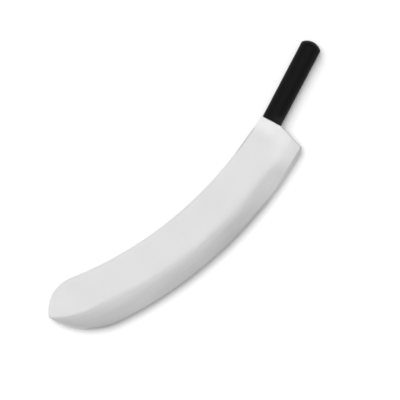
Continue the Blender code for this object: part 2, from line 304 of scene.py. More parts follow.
# %% Place of a point of the grind
def ground_point(station, row):
    """Station 0 to 1 runs from heel to belly, and 1 to 2 round the belly. Row 0 is the edge."""
    share = max(station - 1, 0.0)
    ground = 1 - share**BELLY_FADE
    wider = min(station, 1.0) ** WIDENING
    width = GRIND_WIDTH_AT_HEEL + (GRIND_WIDTH_AT_BELLY - GRIND_WIDTH_AT_HEEL) * wider
    honed = between(HONED_WIDTHS, station * belly_start * EDGE_RADIUS)[0]
    inset = honed * min(row, 1) + (width - honed) * max(row - 1, 0) / GRIND_ROWS
    inset *= ground
    if station <= 1:
        start = heel_angle(inset)
        angle = start + (belly_start - start) * station
        point = polar(edge_centre, EDGE_RADIUS - inset, angle)
        along = angle * EDGE_RADIUS
    else:
        angle = belly_start + (belly_end - belly_start) * share
        point = polar(belly_centre, BELLY_RADIUS - inset, angle)
        along = EDGE_LENGTH

    if row == 0:
        blunt = smooth_step((share - BLUNT_SHARE) / (1 - BLUNT_SHARE))
        height = EDGE_THICKNESS / 2 + (SHEET - EDGE_THICKNESS) / 2 * blunt
    else:
        depth = (SHEET - BEHIND_EDGE) / 2 * between(DEPTHS, along)[0] * ground
        height = SHEET / 2 - depth * (1 - risen(along, row - 1))
    return FRONT + Vector((point.x, point.y, height))


# %% [markdown]
# A spin needs the point that it starts from, the centre and the angle. We know where each arc
# starts and ends, so a small pen draws the outline: it extrudes the selected point to the next
# place in a straight line, or spins it there about a centre.

# %% The pen
def pen_place():
    return next(point.co.copy() for point in edit_mesh().verts if point.select) - FRONT


def draw_line(end):
    move = end - pen_place().to_2d()
    bpy.ops.mesh.extrude_region_move(TRANSFORM_OT_translate={"value": (move.x, move.y, 0)})


def draw_arc(centre, end, steps):
    first, last = pen_place().to_2d() - centre, end - centre
    turn = math.atan2(first.cross(last), first.dot(last))
    middle = FRONT + Vector((centre.x, centre.y, pen_place().z))
    bpy.ops.mesh.spin(steps=steps, angle=-turn, center=middle, axis=(0, 0, 1))


# %% The cutting edge, as one row of points
steel_blade = add_at_front("steel_blade")
first_place = ground_point(0, 0)
bpy.ops.transform.translate(value=first_place - FRONT)
draw_arc(edge_centre, polar(edge_centre, EDGE_RADIUS, belly_start), EDGE_STEPS)
draw_arc(belly_centre, polar(belly_centre, BELLY_RADIUS, belly_end), BELLY_STEPS)
print("Edge drawn with", len(edit_mesh().verts), "points")

# %% Each point keeps its station and its row
# Slack in stations: for a point on the first arc, and for the one where the two arcs meet.
ARC_SLACK = 1e-4
MEETING_SLACK = 2e-3
work = edit_mesh()
station_layer = work.verts.layers.float.new("station")
work.verts.layers.float.new("ground")
heel_edge = angle_of((first_place - FRONT).to_2d() - edge_centre)
for point in work.verts:
    place = (point.co - FRONT).to_2d()
    along_edge = (angle_of(place - edge_centre) - heel_edge) / (belly_start - heel_edge)
    along_belly = (angle_of(place - belly_centre) - belly_start) / (belly_end - belly_start)
    point[station_layer] = along_edge if along_edge <= 1 + ARC_SLACK else 1 + along_belly
    if abs(point[station_layer] - 1) < MEETING_SLACK:
        point[station_layer] = 1.0
show_edit()

# %% The rows of the grind
for row in range(GRIND_ROWS + 2):
    if row == 0:
        bpy.ops.mesh.select_all(action="SELECT")
    else:
        bpy.ops.mesh.extrude_region_move()
    work = edit_mesh()
    station_layer = work.verts.layers.float["station"]
    ground_layer = work.verts.layers.float["ground"]
    for point in work.verts:
        if point.select:
            point.co = ground_point(point[station_layer], row)
            point[ground_layer] = 1 - max(row - 1, 0) / GRIND_ROWS
    show_edit()
    if row == 1:
        bpy.ops.mesh.mark_sharp()
print("Grind has", len(edit_mesh().faces), "faces")

# %% [markdown]
# The rest of the sheet is flat. The pen draws its outline from the tip's corner round the shoulder
# and the spine to the neck, out along the tang and back to the heel. One face then fills it: a flat
# face needs no more.

# %% Sizes of the tang
BUTT_WALL = 0.022
TANG_WIDTH_FRONT = 0.018
TANG_WIDTH_END = 0.014
TANG_HOLES = 3
TANG_HOLE_RADIUS = 0.0035
TANG_LENGTH = GRIP_LENGTH - BUTT_WALL

# %% Steps of the arcs
TIP_STEPS = 6
SHOULDER_STEPS = 24
SPINE_STEPS = 130
TANG_STEPS = 10

# %% The outline of the flat
tip_point = ground_point(2, GRIND_ROWS + 1)
select_only(lambda point: (point.co - tip_point).length < TOUCH)
bpy.ops.mesh.remove_doubles(threshold=TOUCH)

outwards = -end_inwards
to_spine = (spine_centre - shoulder_centre).normalized()
spine_turn = math.asin((NECK_LENGTH - spine_centre.x) / SPINE_RADIUS)
draw_arc(tip_centre, tip_centre + TIP_CORNER_RADIUS * outwards, TIP_STEPS)
draw_line(shoulder_centre + SHOULDER_RADIUS * outwards)
draw_arc(shoulder_centre, shoulder_centre + SHOULDER_RADIUS * to_spine, SHOULDER_STEPS)
draw_arc(spine_centre, polar(spine_centre, SPINE_RADIUS, spine_turn), SPINE_STEPS)
draw_line(Vector((FIT, -GRIP_WIDTH / 2 - NECK_PROUD)))

end_radius = TANG_WIDTH_END / 2
tang_end = Vector((end_radius - TANG_LENGTH, 0))
draw_line(Vector((FIT, -TANG_WIDTH_FRONT / 2)))
draw_line(tang_end + Vector((0, -end_radius)))
draw_arc(tang_end, tang_end + Vector((-end_radius, 0)), TANG_STEPS)
draw_arc(tang_end, tang_end + Vector((0, end_radius)), TANG_STEPS)
draw_line(Vector((FIT, TANG_WIDTH_FRONT / 2)))
draw_line(heel_start)
draw_line((ground_point(0, GRIND_ROWS + 1) - FRONT).to_2d())

# %% Close the outline and fill it
bpy.ops.mesh.select_all(action="SELECT")
bpy.ops.mesh.remove_doubles(threshold=TOUCH)
HEIGHT_SLACK = 1e-7  # less than the last row of the grind rises
top = FRONT.z + SHEET / 2 - HEIGHT_SLACK
count = select_only(
    lambda edge: len(edge.link_faces) < 2 and all(point.co.z > top for point in edge.verts),
    "edges",
)
bpy.ops.mesh.edge_face_add()
work = edit_mesh()
ground_layer = work.verts.layers.float["ground"]
for point in work.verts:
    if point.co.z > top:
        point[ground_layer] = 0.0
show_edit()
print("Flat filled inside", count, "edges")

# %% A hair smaller, so that our round arcs stay inside the frame's faceted ones
SHRINK = 0.9998
bpy.ops.mesh.select_all(action="SELECT")
bpy.ops.transform.resize(value=(SHRINK, SHRINK, 1), center_override=FRONT)

# %% [markdown]
# That is the upper skin. The lower one is its mirror image, because the knife is ground alike on
# both faces. Bridging the two outlines makes the sheet's cut sides and closes the blade.

# %% Lower skin and sides
bpy.ops.object.mode_set(mode="OBJECT")
mirror_plane = bpy.data.objects.new("mirror_plane", None)
mirror_plane.location = FRONT
bpy.context.scene.collection.objects.link(mirror_plane)
bpy.context.view_layer.update()
apply_modifier(
    steel_blade, "MIRROR",
    use_axis=(False, False, True), mirror_object=mirror_plane, use_mirror_merge=False,
)
bpy.data.objects.remove(mirror_plane)

bpy.ops.object.mode_set(mode="EDIT")
select_only(lambda edge: len(edge.link_faces) == 1, "edges")
bpy.ops.mesh.bridge_edge_loops()
bpy.ops.mesh.select_all(action="SELECT")
bpy.ops.mesh.normals_make_consistent(inside=False)


def count_open():
    """Edges that don't have a face on both sides. A closed piece has none."""
    return sum(len(edge.link_faces) != 2 for edge in edit_mesh().edges)


print("Blade closed, with", count_open(), "open edges")
bpy.ops.object.mode_set(mode="OBJECT")

# %% [markdown]
# Cutting leaves sharp corners along the sheet's sides. They are broken on a belt, so that they are
# kind to the hand, and the small round that this leaves catches a thin line of light. Bevel rounds
# just the corners between a flat face and a cut side, and the ground edge stays sharp.

# %% Round the rim
RIM_BREAK = 0.0004
STEEP = 0.5  # a face is a cut side if its normal's Z is less than this


def on_rim(edge):
    level = all(abs(abs(point.co.z - FRONT.z) - SHEET / 2) < TOUCH for point in edge.verts)
    cut_sides = sum(abs(face.normal.z) < STEEP for face in edge.link_faces)
    return level and cut_sides == 1


bpy.ops.object.mode_set(mode="EDIT")
count = select_only(on_rim, "edges")
bpy.ops.mesh.bevel(offset=RIM_BREAK, segments=4, profile=0.5, affect="EDGES")
print("Rim rounded along", count, "edges, leaving", count_open(), "open")
bpy.ops.object.mode_set(mode="OBJECT")
steel_blade.data.attributes.remove(steel_blade.data.attributes["station"])

# %% [markdown]
# The tang has three punched holes. When the grip is moulded, plastic flows through them and locks
# the blade in. Nobody sees them on a whole knife, but the blade is cut with them all the same.

# %% Tang holes
def add_rods(name, radius):
    """Upright rods where the tang's holes are."""
    rods = []
    for number in range(TANG_HOLES):
        x = FRONT.x - TANG_LENGTH * (number + 0.5) / TANG_HOLES
        bpy.ops.object.select_all(action="DESELECT")
        bpy.ops.mesh.primitive_cylinder_add(
            vertices=48, radius=radius, depth=4 * SHEET, location=(x, FRONT.y, FRONT.z))
        rod = bpy.context.object
        rod.name = "%s_%d" % (name, number + 1)
        bpy.ops.object.transform_apply(location=True)
        rods.append(rod)
    return rods


def cut_with(piece, cutters):
    for cutter in cutters:
        apply_modifier(piece, "BOOLEAN", operation="DIFFERENCE", solver="EXACT", object=cutter)
        bpy.data.objects.remove(cutter)


cut_with(steel_blade, add_rods("hole", TANG_HOLE_RADIUS))
print("Blade has", len(steel_blade.data.polygons), "faces")

# %% [markdown]
# Flats have to stay flat in the light while the bevel and the rim turn smoothly. So every face is
# shaded smooth, corners sharper than 35 degrees stay crisp, and Weighted Normal lets the large
# faces decide.

# %% Smooth shading
SHARP_ANGLE = math.radians(35)


def shade_piece(piece):
    bpy.ops.object.select_all(action="DESELECT")
    piece.select_set(True)
    bpy.context.view_layer.objects.active = piece
    bpy.ops.object.shade_smooth_by_angle(angle=SHARP_ANGLE)
    apply_modifier(piece, "WEIGHTED_NORMAL", mode="FACE_AREA", weight=50, keep_sharp=True)


shade_piece(steel_blade)

# %% [markdown]
# ## The moulded grip
#
# The grip is a flattened oval: two flat cheeks, 5 mm wide, with half an ellipse on either side. It
# starts as a cylinder that is squashed, and whose halves are moved apart to make the cheeks. Each
# end is then drawn out ring by ring: extrude, move and resize. The front gets a soft corner, and
# the butt a dome that is an arc from above.

# %% Sizes of the grip
GRIP_WIDTH_BUTT = 0.0322
GRIP_THICKNESS = 0.022
CHEEK_WIDTH = 0.005
BUTT_ARC_DEPTH = 0.0074
BUTT_SIDE_RADIUS = 0.003
BUTT_DOME_DEPTH = 0.009
FRONT_CHEEK_RADIUS = 0.003
FRONT_SIDE_RADIUS = 0.0006
GRIP_FACETS = 72
FRONT_RINGS = 8
BUTT_RINGS = 24
BUTT_LENGTH = max(BUTT_DOME_DEPTH, BUTT_ARC_DEPTH + BUTT_SIDE_RADIUS / 2)


# %% Half sizes of the grip along its length
def half_width_at(from_butt):
    share = from_butt / GRIP_LENGTH
    side = (GRIP_WIDTH_BUTT + (GRIP_WIDTH - GRIP_WIDTH_BUTT) * share) / 2
    radius = (side**2 + BUTT_ARC_DEPTH**2) / (2 * BUTT_ARC_DEPTH)
    corner = BUTT_SIDE_RADIUS
    corner_across = side - corner
    corner_along = radius - math.sqrt((radius - corner) ** 2 - corner_across**2)
    arc_ends = radius - (radius - corner_along) * radius / (radius - corner)
    if from_butt <= arc_ends:
        return math.sqrt(radius**2 - (radius - from_butt) ** 2)
    if from_butt < corner_along:
        return corner_across + math.sqrt(corner**2 - (corner_along - from_butt) ** 2)
    return side


def rounded_off(full, depth, radius, distance):
    """A half size that grows from full - depth to full along a quarter of an ellipse."""
    if distance >= radius:
        return full
    return full - depth + depth * math.sqrt(1 - (1 - distance / radius) ** 2)


def ring_size(x):
    """Half width and half thickness of the grip, x behind its front face."""
    thick = GRIP_THICKNESS / 2
    side = half_width_at(GRIP_LENGTH - x)
    across = rounded_off(side, FRONT_SIDE_RADIUS, FRONT_SIDE_RADIUS, x)
    up_front = rounded_off(thick, FRONT_CHEEK_RADIUS, FRONT_CHEEK_RADIUS, x)
    up_butt = rounded_off(thick, thick, BUTT_DOME_DEPTH, GRIP_LENGTH - x)
    return across, min(up_front, up_butt)


# %% The straight part
bpy.ops.object.select_all(action="DESELECT")
straight = GRIP_LENGTH - FRONT_CHEEK_RADIUS - BUTT_LENGTH
middle = FRONT - Vector((FRONT_CHEEK_RADIUS + straight / 2, 0, 0))
bpy.ops.mesh.primitive_cylinder_add(
    vertices=GRIP_FACETS, radius=1, depth=straight, location=middle, rotation=(0, math.pi / 2, 0))
moulded_grip = bpy.context.object
moulded_grip.name = moulded_grip.data.name = "moulded_grip"
bpy.ops.object.transform_apply(location=True, rotation=True)
bpy.ops.object.mode_set(mode="EDIT")
half_turn = math.pi / GRIP_FACETS
bpy.ops.transform.rotate(value=half_turn, orient_axis="X", center_override=middle)
across, up_size = ring_size(FRONT_CHEEK_RADIUS)
cheek = CHEEK_WIDTH / 2 * across / (GRIP_WIDTH / 2)
bpy.ops.transform.resize(value=(1, across - cheek, up_size), center_override=middle)
for side in (1, -1):
    select_only(lambda point: (point.co.y - middle.y) * side > 0)
    bpy.ops.transform.translate(value=(0, side * cheek, 0))


# %% The rings of both ends
FACES_END = 0.9  # a face belongs to an end if its normal's X is beyond this


def draw_out(rings):
    """Extrudes the selected end face ring by ring to these distances behind the front face."""
    here = FRONT.x - next(point.co.x for point in edit_mesh().verts if point.select)
    across, up_size = ring_size(here)
    for ring in rings:
        new_across, new_up = ring_size(ring)
        bpy.ops.mesh.extrude_region_move(TRANSFORM_OT_translate={"value": (here - ring, 0, 0)})
        bpy.ops.transform.resize(
            value=(1, new_across / across, new_up / up_size),
            center_override=FRONT - Vector((ring, 0, 0)),
        )
        here, across, up_size = ring, new_across, new_up


def round_shares(count):
    """Distances in from an end, as shares of its radius, of rings spread evenly round it."""
    return [1 - math.cos(math.pi / 2 * step / count) for step in range(count + 1)]


select_only(lambda face: face.normal.x > FACES_END, "faces")
shares = reversed(round_shares(FRONT_RINGS)[:-1])
draw_out([FRONT_CHEEK_RADIUS * share for share in shares])

rear = FRONT.x - GRIP_LENGTH + BUTT_LENGTH
select_only(lambda point: point.co.x < rear + TOUCH)
widening = ring_size(GRIP_LENGTH - BUTT_LENGTH)[0] / ring_size(FRONT_CHEEK_RADIUS)[0]
bpy.ops.transform.resize(value=(1, widening, 1), center_override=(rear, FRONT.y, FRONT.z))
select_only(lambda face: face.normal.x < -FACES_END, "faces")
shares = reversed(round_shares(BUTT_RINGS)[1:-1])
draw_out([GRIP_LENGTH - BUTT_LENGTH * share for share in shares])
bpy.ops.mesh.select_mode(type="VERT")
bpy.ops.mesh.merge(type="CENTER")
apex = next(point for point in edit_mesh().verts if point.select)
bpy.ops.transform.translate(value=(FRONT.x - GRIP_LENGTH - apex.co.x, 0, 0))
bpy.ops.mesh.select_all(action="SELECT")
bpy.ops.mesh.normals_make_consistent(inside=False)
print("Grip closed, with", count_open(), "open edges")
bpy.ops.object.mode_set(mode="OBJECT")

# %% [markdown]
# On the real knife the plastic sets round the tang, and fills its three holes. So the grip gets a
# pocket that follows the tang closely, and three plugs stand in it. The pocket's cutter is drawn
# with the pen, and loses the plugs before it cuts.

# %% The tang's pocket
POCKET_GAP = 0.0001
POCKET_FRONT = 0.002  # the cutter starts this far before the grip, to cut through its face
POCKET_STEPS = 32
tang_pocket = add_at_front("tang_pocket")
bpy.ops.transform.translate(
    value=(POCKET_FRONT, -TANG_WIDTH_FRONT / 2 - POCKET_GAP, -SHEET / 2 - POCKET_GAP))
draw_line(tang_end + Vector((0, -end_radius - POCKET_GAP)))
draw_arc(tang_end, tang_end + Vector((0, end_radius + POCKET_GAP)), POCKET_STEPS)
draw_line(Vector((POCKET_FRONT, TANG_WIDTH_FRONT / 2 + POCKET_GAP)))
bpy.ops.mesh.select_all(action="SELECT")
bpy.ops.mesh.edge_face_add()
thickness = SHEET + 2 * POCKET_GAP
bpy.ops.mesh.extrude_region_move(TRANSFORM_OT_translate={"value": (0, 0, thickness)})
bpy.ops.mesh.select_all(action="SELECT")
bpy.ops.mesh.normals_make_consistent(inside=False)
bpy.ops.object.mode_set(mode="OBJECT")
cut_with(tang_pocket, add_rods("plug", TANG_HOLE_RADIUS - POCKET_GAP))
cut_with(moulded_grip, [tang_pocket])
shade_piece(moulded_grip)
print("Grip has", len(moulded_grip.data.polygons), "faces")

# %% [markdown]
# ## Finishes
#
# A finish is a material made of nodes. A few helpers keep the wiring short: they add a node, do a
# step of arithmetic, build a group of nodes, and start a material. A mask is a value that says how
# much something shows at a place on the surface. Most of ours are products of fades.

# %% Helpers for nodes
def add_node(tree, kind, settings=(), **values):
    """Adds a node, sets its properties, and sets or links its inputs by name or number."""
    node = tree.nodes.new(kind)
    for name, value in dict(settings).items():
        setattr(node, name, value)
    for name, value in values.items():
        socket = node.inputs[int(name[1:]) if name[0] == "_" else name.replace("_", " ")]
        if isinstance(value, bpy.types.NodeSocket):
            tree.links.new(value, socket)
        else:
            socket.default_value = value
    return node


def maths(tree, operation, *values):
    """One step of arithmetic, which puts out its result."""
    inputs = {"_%d" % place: value for place, value in enumerate(values)}
    return add_node(tree, "ShaderNodeMath", {"operation": operation}, **inputs).outputs[0]


def vector_maths(tree, operation, first, second=None):
    """One step of arithmetic on vectors, which puts out all its results."""
    inputs = {"_0": first} if second is None else {"_0": first, "_1": second}
    return add_node(tree, "ShaderNodeVectorMath", {"operation": operation}, **inputs).outputs


def remap(tree, value, low, high, new_low, new_high, way="LINEAR"):
    """Turns low into new_low and high into new_high, and keeps to them beyond."""
    return add_node(tree, "ShaderNodeMapRange", {"interpolation_type": way},
                    _0=value, _1=low, _2=high, _3=new_low, _4=new_high).outputs[0]


# %% Helpers for masks
def fade(tree, value, zero, one):
    """A mask that rises smoothly from 0 to 1 between these two values."""
    return remap(tree, value, zero, one, 0.0, 1.0, "SMOOTHSTEP")


def product(tree, *masks):
    """A mask that shows only where all of these do."""
    result = masks[0]
    for mask in masks[1:]:
        result = maths(tree, "MULTIPLY", result, mask)
    return result


def grey_ramp(tree, value, stops, way="LINEAR", blue=1.0):
    """A grey for each value, blended between the stops. A blue above 1 makes it cooler."""
    node = add_node(tree, "ShaderNodeValToRGB", Fac=value)
    ramp = node.color_ramp
    ramp.interpolation = way
    while len(ramp.elements) < len(stops):
        ramp.elements.new(0.5)
    for element, (position, grey) in zip(ramp.elements, stops):
        element.position = position
        element.color = (grey, grey, grey * blue, 1)
    return node.outputs["Color"]


# %% Helpers for groups and materials
def new_group(name, inputs, outputs):
    """An empty group of nodes, what it is given, and what it has to make."""
    group = bpy.data.node_groups.new(name, "ShaderNodeTree")
    for socket, kind, value in inputs:
        made = group.interface.new_socket(socket, in_out="INPUT", socket_type=kind)
        if value is not None:
            made.default_value = value
    for socket, kind in outputs:
        group.interface.new_socket(socket, in_out="OUTPUT", socket_type=kind)
    given = group.nodes.new("NodeGroupInput").outputs
    return group, given, group.nodes.new("NodeGroupOutput").inputs


def place_group(tree, group, **values):
    return add_node(tree, "ShaderNodeGroup", {"node_tree": group}, **values).outputs


def new_material(name, **values):
    """A material whose constant values are set on the shader's own sockets."""
    material = bpy.data.materials.new(name)
    material.use_nodes = True
    shader = material.node_tree.nodes["Principled BSDF"]
    for socket, value in values.items():
        shader.inputs[socket.replace("_", " ")].default_value = value
    return material, material.node_tree, shader


def finish_with(piece, material):
    piece.data.materials.clear()
    piece.data.materials.append(material)
    print(piece.name, "is finished with", len(material.node_tree.nodes), "nodes")


# %% [markdown]
# Polish and handling leave every surface a little different from place to place. Steel and plastic
# both need that, each at its own scale, so it is built once, as a group.

# %% Soft clouds
NOISE_SPAN = (0.3, 0.7)  # nearly all values of a noise texture lie in here

clouds, given, made = new_group(
    "soft_clouds",
    [("Vector", "NodeSocketVector", None), ("Scale", "NodeSocketFloat", 40.0),
     ("Low", "NodeSocketFloat", 0.4), ("High", "NodeSocketFloat", 0.6)],
    [("Value", "NodeSocketFloat")],
)
noise = add_node(clouds, "ShaderNodeTexNoise", Vector=given["Vector"], Scale=given["Scale"],
                 Detail=3.0, Roughness=0.55)
spread = remap(clouds, noise.outputs["Fac"], *NOISE_SPAN, given["Low"], given["High"])
clouds.links.new(spread, made["Value"])
print("Group", clouds.name, "has", len(clouds.nodes), "nodes")

# %% [markdown]
# Steel is ground, and then brushed, and both leave fine lines. On the flats they run with the
# blade's curve. On the bevel they run across it, the way the wheel passed. So the steel needs to
# know where it is along the edge and how far in from it: a group turns Object coordinates into
# these two.

# %% Along the edge and in from it
edge_grid, given, made = new_group(
    "edge_grid",
    [("Vector", "NodeSocketVector", None)],
    [("Along", "NodeSocketFloat"), ("Inset", "NodeSocketFloat")],
)
centre = FRONT + edge_centre.to_3d()
from_centre = vector_maths(edge_grid, "SUBTRACT", given["Vector"], centre)[0]
flat_vector = vector_maths(edge_grid, "MULTIPLY", from_centre, (1, 1, 0))[0]
distance = vector_maths(edge_grid, "LENGTH", flat_vector)["Value"]
parts = add_node(edge_grid, "ShaderNodeSeparateXYZ", _0=from_centre).outputs
angle = maths(edge_grid, "ARCTAN2", parts[0], parts[1])
edge_grid.links.new(maths(edge_grid, "MULTIPLY", angle, EDGE_RADIUS), made["Along"])
edge_grid.links.new(maths(edge_grid, "SUBTRACT", EDGE_RADIUS, distance), made["Inset"])
print("Group", edge_grid.name, "has", len(edge_grid.nodes), "nodes")

# %% Fine lines
fine_lines, given, made = new_group(
    "fine_lines",
    [("Along", "NodeSocketFloat", 0.0), ("Across", "NodeSocketFloat", 0.0),
     ("Length", "NodeSocketFloat", 0.05), ("Width", "NodeSocketFloat", 0.0004)],
    [("Lines", "NodeSocketFloat")],
)
place = add_node(
    fine_lines, "ShaderNodeCombineXYZ",
    X=maths(fine_lines, "DIVIDE", given["Along"], given["Length"]),
    Y=maths(fine_lines, "DIVIDE", given["Across"], given["Width"]),
)
noise = add_node(fine_lines, "ShaderNodeTexNoise", Vector=place.outputs[0], Scale=1.0,
                 Detail=2.0, Roughness=0.6)
fine_lines.links.new(noise.outputs["Fac"], made["Lines"])
print("Group", fine_lines.name, "has", len(fine_lines.nodes), "nodes")

# %% [markdown]
# The steel itself. Its tone falls towards the edge, and the honed strip at the edge is darkest.
# This is partly the bevel's own ground lines, which are duller than the brushed flats, and partly
# painted shade for the bevel's slope. An attribute that the mesh carries, ground, says how far down
# the bevel a point is. Broad, faint stripes along the bevel are what the passes of the wheel left.

# %% Brushed steel
# Tones down the bevel: its duller ground finish, and painted shade that darkens it towards the
# edge.
STEEL_TONES_AND_SHADE = ((0.0, 0.76), (0.3, 0.745), (0.65, 0.735), (0.93, 0.745), (1.0, 0.69))
COOLER = 1.005  # blue against red and green
BEVEL_TOP = (0.0, 0.15)  # where the flat's lines give way to the bevel's, in shares of the grind
LINE_SPAN = (0.25, 0.75)  # nearly all values of the fine lines lie in here
STREAK_STRENGTH = 0.025  # how much the fine lines and the wheel's passes change the brightness
PASS_STRENGTH = 0.03

steel, tree, shader = new_material("brushed_steel", Metallic=1.0)
where = add_node(tree, "ShaderNodeTexCoord").outputs["Object"]
grid = place_group(tree, edge_grid, Vector=where)
along, inset = grid["Along"], grid["Inset"]
ground = add_node(tree, "ShaderNodeAttribute", {"attribute_name": "ground"}).outputs["Fac"]
on_bevel = fade(tree, ground, *BEVEL_TOP)
brushed = place_group(tree, fine_lines, Along=along, Across=inset, Length=0.06, Width=0.0003)
wheel = place_group(tree, fine_lines, Along=inset, Across=along, Length=0.025, Width=0.0004)
passes = place_group(tree, fine_lines, Along=along, Across=inset, Length=0.07, Width=0.005)
lines = add_node(tree, "ShaderNodeMix", _0=on_bevel, _2=brushed[0], _3=wheel[0]).outputs[0]

# The bevel's tone: partly ground finish, partly painted shade.
tone = grey_ramp(tree, ground, STEEL_TONES_AND_SHADE, "B_SPLINE", COOLER)
streaks = remap(tree, lines, *LINE_SPAN, 1 - STREAK_STRENGTH, 1 + STREAK_STRENGTH)
stripes = remap(tree, passes[0], *NOISE_SPAN, -PASS_STRENGTH, PASS_STRENGTH)
brightness = maths(tree, "MULTIPLY_ADD", stripes, on_bevel, streaks)

# %% [markdown]
# Painted light and shade on the steel. By the grip a painted highlight makes it lighter, and a
# painted highlight band runs along the top of the grind near the heel. Low on the bevel, painted
# shade darkens some stretches more than others. Each such place is a mask, made of fades along the
# edge and in from it. Its strength is added to the steel's brightness.

# %% Painted highlights and shade on the steel
# A pair says where a fade is 0 and where it is 1, in metres along the edge or in from it.
NECK_HIGHLIGHT_ALONG = (0.034, 0.010)
NECK_HIGHLIGHT_INSETS = ((0.016, 0.026), (0.042, 0.060))
NECK_HIGHLIGHT = 0.16
HIGHLIGHT_BAND_ALONG = ((0.008, 0.026), (0.068, 0.042))
HIGHLIGHT_BAND_INSETS = ((0.008, 0.027), (0.055, 0.030))
HIGHLIGHT_BAND = 0.06
# How much painted shade darkens the bevel, at shares of the edge's length.
BEVEL_SHADE = ((0.24, 0.0), (0.30, 0.35), (0.36, 0.8), (0.48, 0.45), (0.60, 0.4), (0.71, 0.1),
              (0.83, 1.0), (0.95, 0.75))
BEVEL_SHADE_STRENGTH = -0.13

# Painted highlight on the steel by the grip.
halves = [maths(tree, "MULTIPLY", fade(tree, inset, *pair), 0.5) for pair in NECK_HIGHLIGHT_INSETS]
painted_neck_highlight = product(tree, fade(tree, along, *NECK_HIGHLIGHT_ALONG), maths(tree, "ADD", *halves), NECK_HIGHLIGHT)
# Painted highlight band along the top of the grind near the heel.
painted_highlight_band = product(tree, *(fade(tree, along, *pair) for pair in HIGHLIGHT_BAND_ALONG),
                      *(fade(tree, inset, *pair) for pair in HIGHLIGHT_BAND_INSETS), HIGHLIGHT_BAND)
# Painted shade on stretches low on the bevel.
bevel_shade_ramp = grey_ramp(tree, maths(tree, "DIVIDE", along, EDGE_LENGTH), BEVEL_SHADE)
painted_bevel_shade = product(tree, bevel_shade_ramp, ground, BEVEL_SHADE_STRENGTH)

# %% [markdown]
# A thin line of painted shade runs along the sheet's cut sides beside the neck and the heel. The
# honed strip at the heel is darkened with painted shade too.

# %% Painted shade on the sides and the honed strip
NECK_SIDE = (0.0028, 0.0008)  # in from the cut side
NECK_ALONG = ((0.018, 0.030), (0.085, 0.060))
HEEL_SIDE = (0.0026, 0.0006)
HEEL_INSET = (0.048, 0.040)
SIDE_SHADE = -0.24
HONED_GROUND = (0.94, 1.0)  # in shares of the grind
HONED_ALONG = (0.105, 0.030)
HONED_SHADE = -0.28


def from_side(point, inwards):
    """Distance in from a straight cut side through this point."""
    apart = vector_maths(tree, "SUBTRACT", where, FRONT + point.to_3d())[0]
    return vector_maths(tree, "DOT_PRODUCT", apart, inwards.to_3d())["Value"]


neck_start = Vector((FIT, -GRIP_WIDTH / 2 - NECK_PROUD))
neck_end = polar(spine_centre, SPINE_RADIUS, spine_turn)
neck_along = (neck_end - neck_start).normalized()
neck_inwards = Vector((-neck_along.y, neck_along.x))
# Painted shade along the cut sides at the neck and the heel.
at_neck = product(tree, fade(tree, from_side(neck_start, neck_inwards), *NECK_SIDE),
                  *(fade(tree, along, *pair) for pair in NECK_ALONG))
at_heel = product(tree, fade(tree, from_side(heel_start, heel_inwards), *HEEL_SIDE),
                  fade(tree, inset, *HEEL_INSET))
painted_side_shade = product(tree, maths(tree, "MAXIMUM", at_neck, at_heel), SIDE_SHADE)
# Painted shade on the honed strip near the heel.
painted_honed_shade = product(tree, fade(tree, ground, *HONED_GROUND), fade(tree, along, *HONED_ALONG),
                     HONED_SHADE)

# %% Colour, roughness and grooves of the steel
# The painted highlights and shade go into the steel's brightness.
for mask in (painted_neck_highlight, painted_highlight_band, painted_bevel_shade, painted_honed_shade, painted_side_shade):
    brightness = maths(tree, "ADD", brightness, mask)
colour = add_node(tree, "ShaderNodeVectorMath", {"operation": "SCALE"}, _0=tone, Scale=brightness)
tree.links.new(colour.outputs[0], shader.inputs["Base Color"])

LINE_ROUGHNESS = 0.08  # how strongly the fine lines change the roughness
cloudy = place_group(tree, clouds, Vector=where, Scale=25.0, Low=0.313, High=0.327)["Value"]
uneven = maths(tree, "MULTIPLY", maths(tree, "SUBTRACT", lines, 0.5), LINE_ROUGHNESS)
tree.links.new(maths(tree, "ADD", cloudy, uneven), shader.inputs["Roughness"])
grooves = add_node(tree, "ShaderNodeBump", Strength=0.06, Distance=0.0002, Height=lines)
tree.links.new(grooves.outputs[0], shader.inputs["Normal"])
finish_with(steel_blade, steel)

# %% [markdown]
# The grip is black polypropylene. Its mould is etched, so the plastic has a satin sheen and a fine
# grain that breaks up the light. Near the front, on the edge's side, a painted highlight makes it a
# little lighter.

# %% Black plastic
# Where the painted highlight starts and where it is full, from the grip's front and from its
# middle.
FRONT_HIGHLIGHT_ALONG = (-0.018, -0.005)
FRONT_HIGHLIGHT_ACROSS = (-0.003, 0.009)
FRONT_HIGHLIGHT = 0.009

plastic, tree, shader = new_material(
    "black_plastic", IOR=1.45, Specular_IOR_Level=0.10, Metallic=0.0)
where = add_node(tree, "ShaderNodeTexCoord").outputs["Object"]
place = add_node(tree, "ShaderNodeSeparateXYZ", _0=where).outputs
# Painted highlight on the grip's front, on the edge's side.
painted_front_highlight = product(tree, fade(tree, place["X"], *(FRONT.x + side for side in FRONT_HIGHLIGHT_ALONG)),
                  fade(tree, place["Y"], *(FRONT.y + side for side in FRONT_HIGHLIGHT_ACROSS)), FRONT_HIGHLIGHT)
tone = place_group(tree, clouds, Vector=where, Scale=60.0, Low=0.0038, High=0.0044)["Value"]
tone = maths(tree, "ADD", tone, painted_front_highlight)
colour = add_node(tree, "ShaderNodeCombineColor", Red=tone, Green=tone, Blue=tone)
tree.links.new(colour.outputs[0], shader.inputs["Base Color"])

